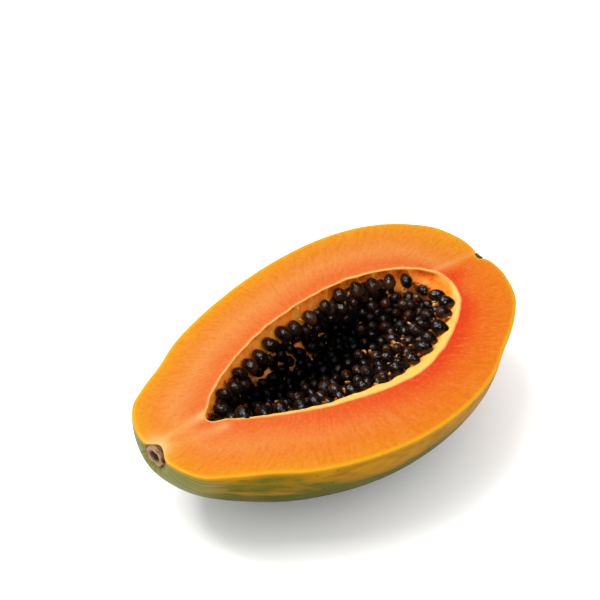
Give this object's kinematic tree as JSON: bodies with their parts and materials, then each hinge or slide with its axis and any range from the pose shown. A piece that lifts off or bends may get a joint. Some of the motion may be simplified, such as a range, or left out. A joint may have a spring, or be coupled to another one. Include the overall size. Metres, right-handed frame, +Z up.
{
  "type": "papaya half",
  "caption": "Half of a papaya cut lengthwise, with black seeds in its open cavity, lying on its rounded back.",
  "frame": {"origin": "under the middle of the half, on the surface it lies on", "axes": "+X along the fruit from the stalk end to the blossom end, +Z up, square to the cut face"},
  "size_m": [0.1881, 0.1098, 0.05],
  "materials": {
    "fruit": "moist orange flesh under a thin waxy yellow and green skin",
    "seeds": "wet glossy black-brown seeds",
    "stem_scar": "dry brown cork",
    "blossom_scar": "dry dark remnant"
  },
  "bodies": {
    "root": {"fruit_half": "fruit", "seeds": "seeds", "stem_scar": "stem_scar", "blossom_scar": "blossom_scar"}
  },
  "joints": []
}
